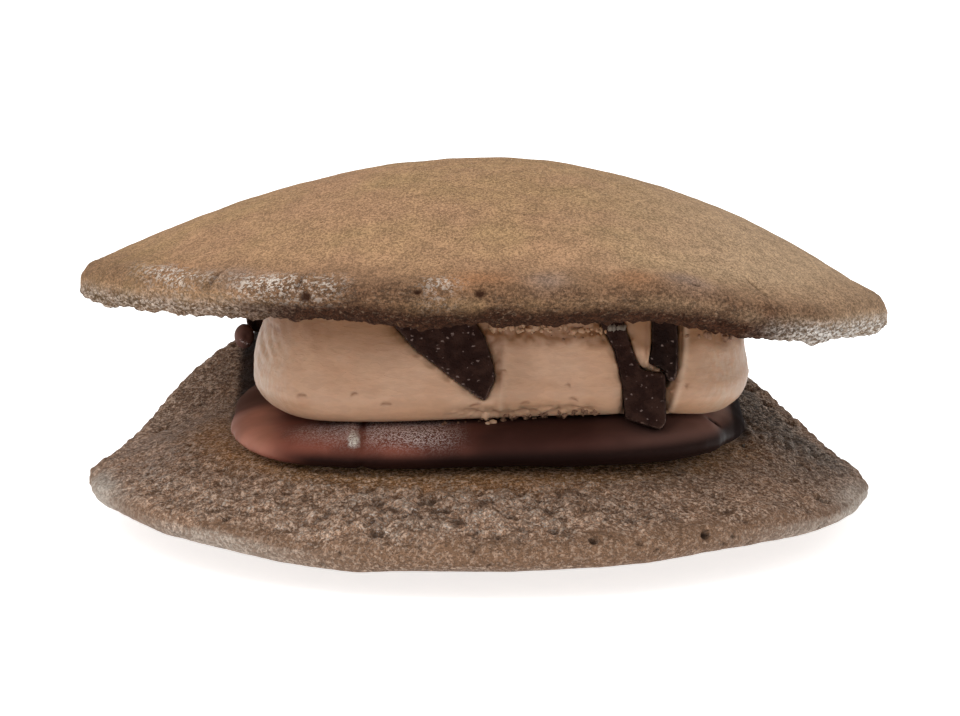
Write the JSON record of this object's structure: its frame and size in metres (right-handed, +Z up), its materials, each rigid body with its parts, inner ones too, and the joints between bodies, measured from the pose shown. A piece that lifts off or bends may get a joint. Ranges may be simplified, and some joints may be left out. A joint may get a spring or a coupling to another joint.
{
  "type": "dorayaki",
  "caption": "Chocolate dorayaki: cocoa pancakes closed at the back and open at the front round glossy paste, cocoa cream and chocolate pieces.",
  "frame": {"origin": "middle of the small flat spot that the lower pancake rests on", "axes": "+X to the eater's right, +Y to the back where the pancakes meet, +Z up"},
  "size_m": [0.0953, 0.0949, 0.0439],
  "materials": {
    "lower_sponge": "moist dark cocoa sponge, rough with open pores",
    "upper_sponge": "dry griddled cocoa skin, fine-grained and matte",
    "paste": "smooth glossy dark red-brown paste",
    "cream": "satin milk-chocolate cream with smears",
    "chocolate": "snapped dark chocolate, half matte"
  },
  "bodies": {
    "root": {"lower_pancake": "lower_sponge", "upper_pancake": "upper_sponge", "paste_layer": "paste", "cream_block": "cream", "chocolate_centre": "chocolate", "chocolate_slab": "chocolate", "chocolate_block": "chocolate", "chocolate_back": "chocolate", "paste_bead": "paste"}
  },
  "joints": []
}
